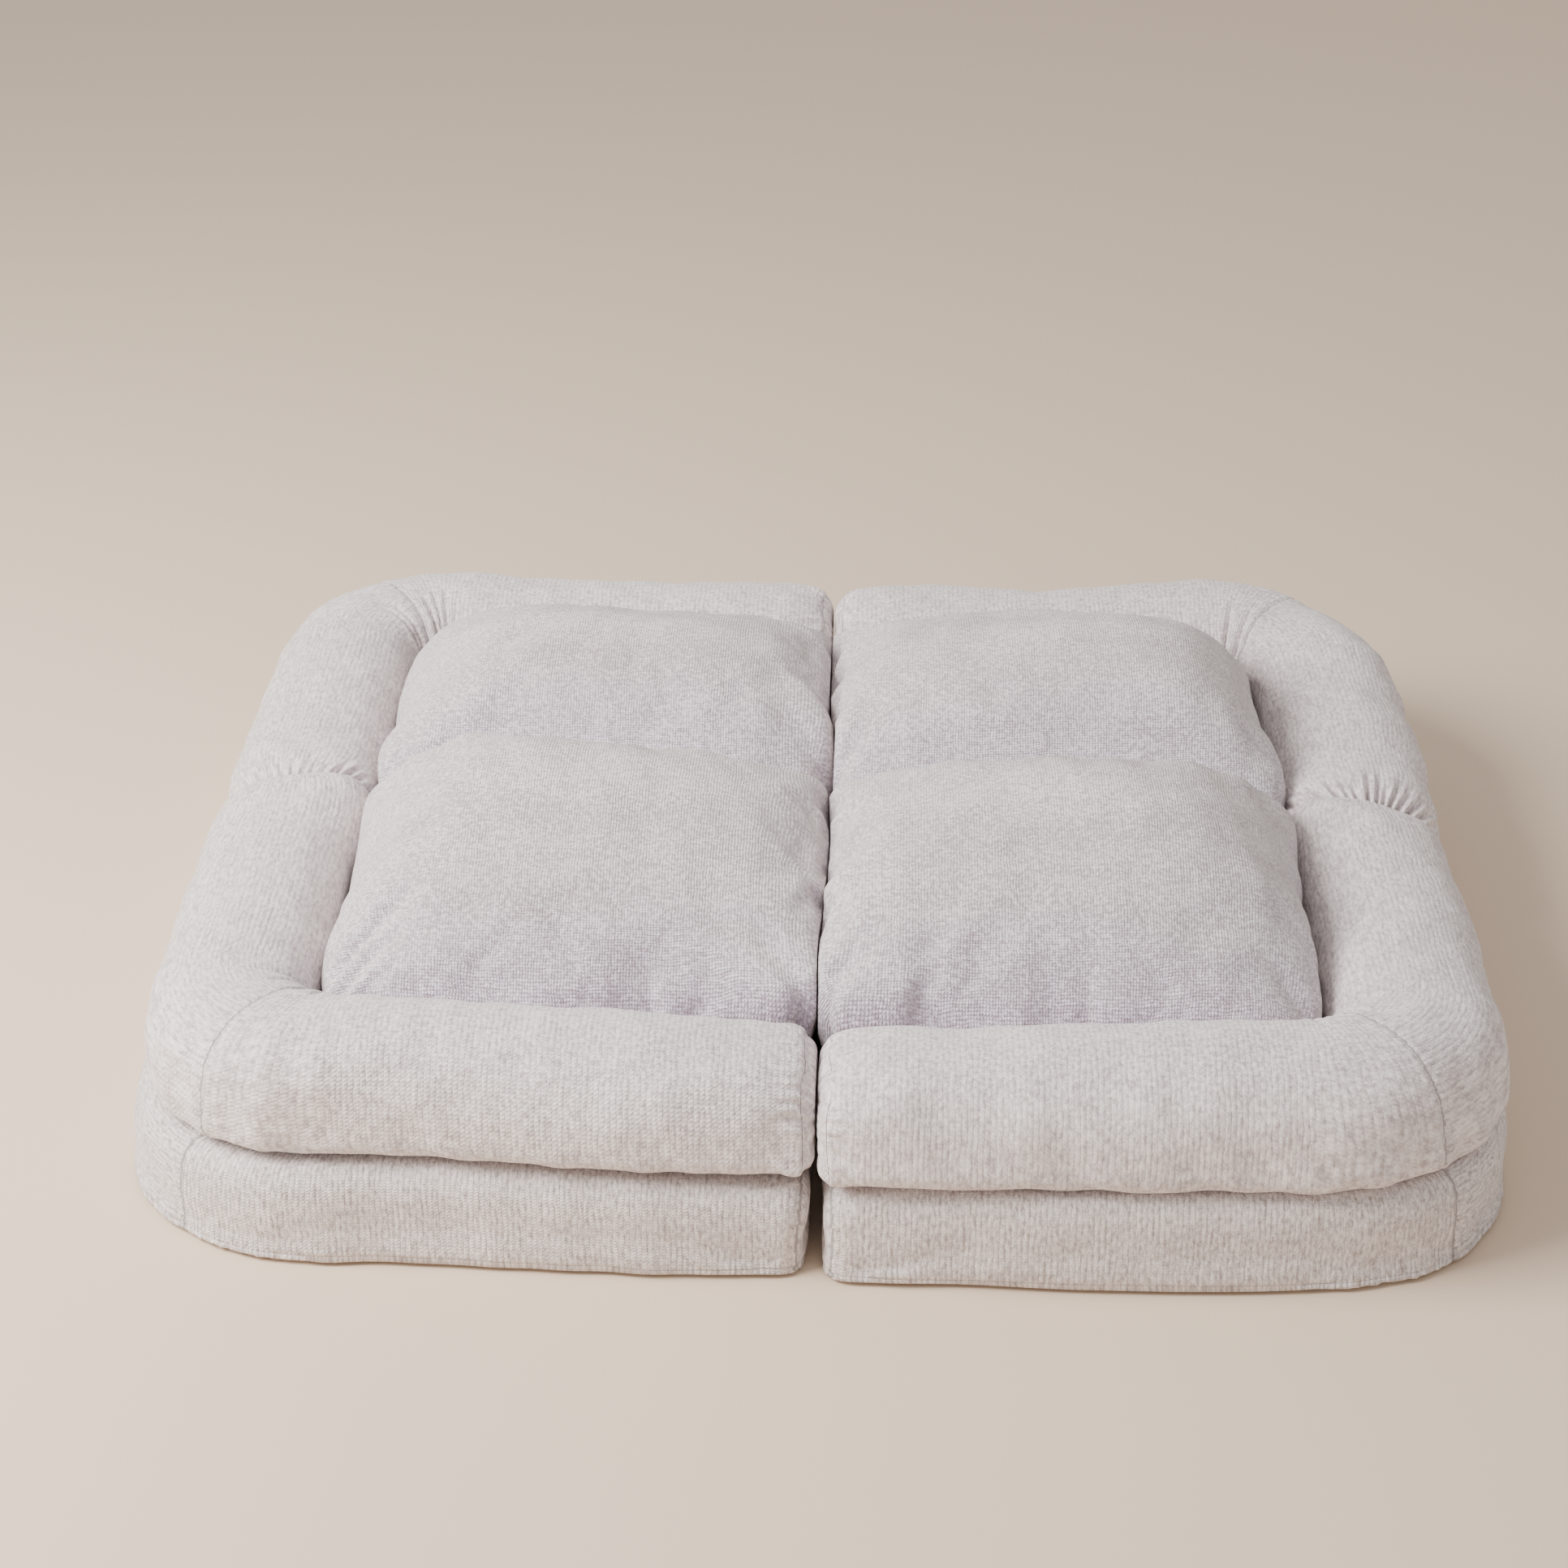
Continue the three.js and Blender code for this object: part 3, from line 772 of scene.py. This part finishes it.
def rounded_end(points):
    """The bolster's end at the split, drawn in above and in front."""
    line_y = bolster_line()[1]
    near = np.clip(1 - points[:, 0] / END_REACH, 0, 1) ** 2
    lift = np.clip((points[:, 2] - BOLSTER_WAIST) / BOLSTER_ROUND, 0, 1)
    front = np.clip((points[:, 1] - line_y) / (BOLSTER_WIDTH / 2), -1, 1)
    dome = -END_DOME * np.clip(1 - points[:, 0] / END_REACH, 0, 1) * (1 - lift**2) * (1 - front**2)
    return np.stack([dome, -END_DRAW * near * front * lift, -END_DRAW * near * lift], axis=1)


def full_fold(points, out, quarter):
    """The bolster's stuffing at the fold, which fills its end almost to the seam."""
    near = groove(points[:, 1], FOLD_FULL_REACH) * eased((points[:, 2] - FOLD_FULL_LOW) / FOLD_FULL_RISE)
    lift = FOLD_LIFTS[quarter] * near * eased(1.6 - np.abs(out) / (BOLSTER_WIDTH / 2))
    return np.stack([0 * near, 0 * near, lift], axis=1)


# Cushion and base


def split_line(points, quarter):
    """How far the cushions' meeting line swings to the right of the middle of the bed, over its depth."""
    side, end = QUARTERS[quarter]
    depth = end * points[:, 1] + half_middle(side)
    swing = sum(push * groove(depth - middle * MM, reach * MM) for middle, reach, push in SPLIT_SWINGS)
    return side * MM * swing


def dress_cushion(mesh, quarter, seed):
    points, normals = points_of(mesh), normals_of(mesh)
    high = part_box("rear_right_cushion_cover")[1]
    edge_x, edge_y = high.x, high.y - half_middle(1)
    x, y, z = points.T
    shift = unevenness(points, CUSHION_RIPPLES, seed)
    from_edge = np.minimum.reduce([edge_x - x, edge_y - y, x, y])
    at_side = np.minimum(edge_x - x, x) < np.minimum(edge_y - y, y)
    edge_line = np.where(at_side, y, x)
    pucker = ripple(np.stack([edge_line, from_edge * 0.6, at_side * 0.5], axis=1), 44 * MM, seed + 2)
    shift += EDGE_PUCKER * np.minimum(pucker, 0.3) * eased(1 - from_edge / EDGE_REACH)
    shift += creases(points, CUSHION_CREASES[quarter])
    points = points + normals * (shift + FABRIC)[:, None] + bumps(points, CUSHION_BUMPS[quarter])
    points += bumps(points, CUSHION_CORNER)
    swing = split_line(points, quarter)
    points[:, 0] += (swing - SIDE_PUSH) * eased(1 - points[:, 0] / SIDE_REACH)
    points[:, 0] = np.maximum(points[:, 0], CUSHION_TOUCH + swing)
    points[:, 1] = np.maximum(points[:, 1], CLEARANCE)
    points[:, 2] = np.maximum(points[:, 2], base_top(points, quarter) + CLEARANCE)
    ramp = FOLD_HEIGHT - FOLD_SEAT + FOLD_SLOPE * points[:, 1] + FOLD_PRESS
    points[:, 2] = np.minimum(points[:, 2], ramp)
    put_points(mesh, points)
    turned = np.tanh((y - edge_y / 2) / WEAVE_TURN)
    set_weave(mesh, np.stack([x, y * 1.15 - 0.4 * turned * (z - high.z), z], axis=1))
    nap = np.zeros(len(points))
    for middle, reach, strength in NAP_MARKS[quarter]:
        away = (((points[:, :2] - np.array(middle) * MM) / (np.array(reach) * MM)) ** 2).sum(axis=1)
        nap += strength * np.exp(-away) * (1 + 0.5 * ripple(points, 30 * MM, seed + 3))
    set_value(mesh, "nap", nap)
    return mesh


def base_top(points, quarter):
    """The height of the base's top, which sinks a little under the bolster's ends."""
    return BASE_HEIGHT + bumps(points * (1, 1, 0) + (0, 0, BASE_HEIGHT), BASE_BUMPS[quarter])[:, 2]


def dress_base(mesh, quarter, seed):
    points, normals = points_of(mesh), normals_of(mesh)
    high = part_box("rear_right_base_cover")[1]
    bend_x, bend_y = high.x - BASE_CORNER, high.y - half_middle(1) - BASE_CORNER
    x, y, z = points.T
    angle = np.arctan2(x - bend_x, y - bend_y)
    in_bend = (x > bend_x) & (y > bend_y)
    past_bend = bend_x + BASE_CORNER * math.pi / 2 + bend_y - y
    along = np.where(in_bend, bend_x + BASE_CORNER * angle, np.where(x > bend_x, past_bend, x))
    radius = np.hypot(x - bend_x, y - bend_y)
    inset = np.where(in_bend, BASE_CORNER - radius, np.minimum(high.x - x, high.y - half_middle(1) - y))
    shift = unevenness(points, BASE_RIPPLES, seed)
    seam = groove((angle - BASE_MITRE) * BASE_CORNER, SEAM_WIDTH) * in_bend
    seam *= eased((radius - SEAM_START) / SEAM_RISE)
    shift -= SEAM_SHARES[quarter] * SEAM_DEPTH * seam
    shift += RIM_PUSH * groove(z - RIM_HEIGHT, RIM_HEIGHT) * (z > 0.1 * MM)
    shift -= SEAM_DEPTH * groove(z - BAND_HEIGHT, SEAM_WIDTH)
    points = points + normals * (shift + FABRIC)[:, None] + bumps(points, BASE_BUMPS[quarter])
    points[:, 0] = np.maximum(points[:, 0], TOUCH + SPLIT_LEAN * (1 - points[:, 2] / BASE_HEIGHT))
    points[:, 1] = np.maximum(points[:, 1], CLEARANCE)
    edge = np.minimum.reduce([inset, x - TOUCH, y - CLEARANCE])
    points[:, 2] = np.maximum(points[:, 2], RIM_LIFT * np.clip(1 - edge / RIM_REACH, 0, 1))
    points[:, 2] = np.minimum(points[:, 2], base_top(points, quarter))
    put_points(mesh, points)
    beyond = in_bend & (angle > BASE_MITRE) | (x > bend_x) & (y <= bend_y)
    at_split = (x < SPLIT_FACE) & (normals[:, 0] < SPLIT_NORMAL)
    along = np.where(at_split, y, along)
    rise = np.where(at_split, z, z + np.maximum(inset, 0))
    set_weave(mesh, np.stack([np.where(beyond, rise, along), np.where(beyond, along, rise), x], axis=1))
    return mesh


def parted(mesh, axis, place):
    """The closed parts of a form beyond and before a plane, with a little clearance between them."""
    parts = []
    for beyond in (True, False):
        form = bmesh.new()
        form.from_mesh(mesh)
        point, normal = Vector(), Vector()
        point[axis] = place + (CLEARANCE / 2 if beyond else -CLEARANCE / 2)
        normal[axis] = 1
        cut = bmesh.ops.bisect_plane(
            form,
            geom=[*form.verts, *form.edges, *form.faces],
            plane_co=point,
            plane_no=normal,
            clear_inner=beyond,
            clear_outer=not beyond,
        )
        rim = [item for item in cut["geom_cut"] if isinstance(item, bmesh.types.BMEdge)]
        lid = bmesh.ops.edgeloop_fill(form, edges=rim)
        bmesh.ops.triangulate(form, faces=lid["faces"])
        bmesh.ops.recalc_face_normals(form, faces=form.faces)
        part = bpy.data.meshes.new("part")
        form.to_mesh(part)
        form.free()
        parts.append(part)
    return parts


def wobbled(mesh, seed):
    """The seam of the bolster's end panel, a little out of line all the way round."""
    points = points_of(mesh)
    _, around, _, _ = bolster_place(points)
    wave = ripple(np.stack([around, 0 * around, 0 * around], axis=1), 30 * MM, seed)
    points[:, 0] += END_SEAM_WOBBLE * np.clip(wave, -1, 1) * groove(points[:, 0] - END_SEAM, 6 * MM)
    points[:, 0] = np.maximum(points[:, 0], TOUCH)
    put_points(mesh, points)
    return mesh


# Finished pieces


def placed(name, mesh, quarter, materials, slot, fill, *nodes):
    """One quarter's finished piece: mirrored, moved to its half and smooth, with any second cloth below."""
    side, end = QUARTERS[quarter]
    clothed(mesh, materials)
    form = bmesh.new()
    form.from_mesh(mesh)
    bmesh.ops.scale(form, verts=form.verts, vec=(side, end, 1))
    bmesh.ops.translate(form, verts=form.verts, vec=(0, half_middle(side), 0))
    if side * end < 0:
        bmesh.ops.reverse_faces(form, faces=form.faces)
    form.normal_update()
    for face in form.faces:
        face.smooth = True
        # Faces that look down take the last cloth: the underside cloth, whose darker colour is also painted
        # shade in the crevice under the lifted rim
        face.material_index = len(materials) - 1 if face.normal.z < UNDERSIDE_NORMAL else 0
    form.to_mesh(mesh)
    form.free()
    # The lean attribute is how far each face turns towards the front: the mask of the cushions' painted shade
    # on front slopes
    set_value(mesh, "lean", np.clip(-normals_of(mesh)[:, 1], 0, 1))
    return declared(f"{quarter}_{name}", mesh, quarter, [f"{quarter}_{node}" for node in nodes])


def make_welt(name, material):
    """The round cord in the fold between a half's two cushions."""
    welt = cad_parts[f"fold_welt_{name}"].data.copy()
    mesh = modified(welt, "REMESH", mode="VOXEL", voxel_size=WELT_VOXEL)
    relaxed(mesh, rounds=4, low=0)
    mesh.shade_smooth()
    set_weave(mesh, points_of(mesh)[:, [0, 2, 1]])
    clothed(mesh, [material])
    declared(f"{name}_fold_cord", mesh, f"front_{name}", [f"fold_welt_{name}"])


def clothed(mesh, materials):
    """Gives the mesh its cloths, before its faces choose between them."""
    mesh.materials.clear()
    for material in materials:
        mesh.materials.append(material)


def declared(name, mesh, body, nodes):
    """The new padded piece that stands for some of the CAD's nodes and rides on a body."""
    piece = new_object(name, mesh)
    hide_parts(*nodes)
    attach(piece, body)
    return piece


# Camera, light and floor


def make_camera():
    data = bpy.data.cameras.new("camera")
    data.lens = CAMERA_LENS
    data.sensor_width = SENSOR_WIDTH
    camera = new_object("camera", data)
    camera.location = CAMERA_PLACE
    ahead = Vector((
        math.sin(CAMERA_YAW) * math.cos(CAMERA_PITCH),
        math.cos(CAMERA_YAW) * math.cos(CAMERA_PITCH),
        -math.sin(CAMERA_PITCH),
    ))
    camera.rotation_euler = ahead.to_track_quat("-Z", "Y").to_euler()
    SCENE.camera = camera


def make_light():
    data = bpy.data.lights.new("window", "AREA")
    data.shape = "SQUARE"
    data.size = KEY_SIZE
    data.energy = KEY_POWER
    data.color = KEY_COLOUR
    lamp = new_object("window", data)
    lamp.location = KEY_PLACE
    toward = Vector(KEY_TARGET) - Vector(KEY_PLACE)
    lamp.rotation_euler = toward.to_track_quat("-Z", "Y").to_euler()
    world = bpy.data.worlds.new("studio")
    SCENE.world = world
    world.use_nodes = True
    background = world.node_tree.nodes["Background"]
    background.inputs["Color"].default_value = linear(WORLD_COLOUR)
    background.inputs["Strength"].default_value = WORLD_STRENGTH


def make_floor():
    form = bmesh.new()
    bmesh.ops.create_grid(form, x_segments=1, y_segments=1, size=FLOOR_SIZE / 2)
    mesh = bpy.data.meshes.new("floor")
    form.to_mesh(mesh)
    form.free()
    floor = new_object("floor", mesh)
    material = new_material("pale floor")
    shader = add_node(
        material,
        "ShaderNodeBsdfPrincipled",
        {"Base Color": linear(FLOOR_COLOUR), "Roughness": 1.0, "Specular IOR Level": 0.1},
    )
    add_node(material, "ShaderNodeOutputMaterial", links={"Surface": shader.outputs[0]})
    mesh.materials.append(material)


make_camera()
make_light()
make_floor()

# Bolsters: matt, pale lavender grey chenille in soft ribs. The bases have the same cloth with deeper ribs, in
# darker colours that are painted shade.
rib_cloth = chenille("ribbed chenille", "#f8f0f0", "#b8acad", wale_depth=0.45)
base_cloth_in_painted_shade = chenille("ribbed chenille of the bases, darkened as painted shade", "#f6eeed", "#aa9f9e", wale_depth=0.6)
# Cushions and fold cords: matt, slightly lighter chenille woven in fine square dots, with brushed marks, and
# a lavender tint of painted shade on slopes that face the front
dot_cloth = basket_weave("basket weave chenille", "#fbf4f4", "#c2b6b8")
# Underside: flat, warm grey non-slip cloth, darker than the chenille so that it also paints shade in the
# crevice under the lifted rim
underside_cloth_and_shade = plain_cloth("non-slip underside cloth and painted contact shade", "#c8c1bc", "#aea6a0", scale=700)

bolster_form = swollen_form(
    ["bolster_filling"], BOLSTER_VOXEL, rounds=8, low=0, cap=BOLSTER_CAP, foot=BASE_HEIGHT + 6 * MM
)
bolster_form = finer(bolster_form, FOLD_DETAIL, END_DETAIL)
cushion_form = swollen_form(
    ["cushion_filling"], CUSHION_VOXEL, rounds=8, low=0, cap=CUSHION_CAP, foot=BASE_HEIGHT + 4 * MM
)
base_nodes = ["base_cover", "base_foam", "base_bottom"]
base_form = swollen_form(base_nodes, BASE_VOXEL, rounds=12, low=18 * MM, cap=BASE_CAP, foot=BAND_HEIGHT)

for index, quarter in enumerate(QUARTERS):
    seed = 100 * index
    bolster = dress_bolster(bolster_form.copy(), quarter, seed)
    body, panel = [wobbled(part, seed + 6) for part in parted(bolster, 0, END_SEAM)]
    filled = ("bolster_cover", "bolster_filling")
    placed("bolster", body, quarter, [rib_cloth], "chenille", BOLSTER_FILL, *filled)
    set_weave(panel, points_of(panel)[:, [1, 2, 0]])
    placed("bolster_end", panel, quarter, [rib_cloth], "chenille", BOLSTER_FILL, "bolster_end_panel")
    cushion = dress_cushion(cushion_form.copy(), quarter, seed + 20)
    filled = ("cushion_cover", "cushion_filling")
    placed("cushion", cushion, quarter, [dot_cloth], "basket_weave", CUSHION_FILL, *filled)
    base, bottom = parted(dress_base(base_form.copy(), quarter, seed + 40), 2, BAND_HEIGHT)
    placed("base", base, quarter, [base_cloth_in_painted_shade], "chenille", BASE_FILL, "base_cover", "base_foam")
    placed("bottom", bottom, quarter, [base_cloth_in_painted_shade, underside_cloth_and_shade], "underside", BASE_FILL, "base_bottom")

for name in ("left", "right"):
    make_welt(name, dot_cloth)
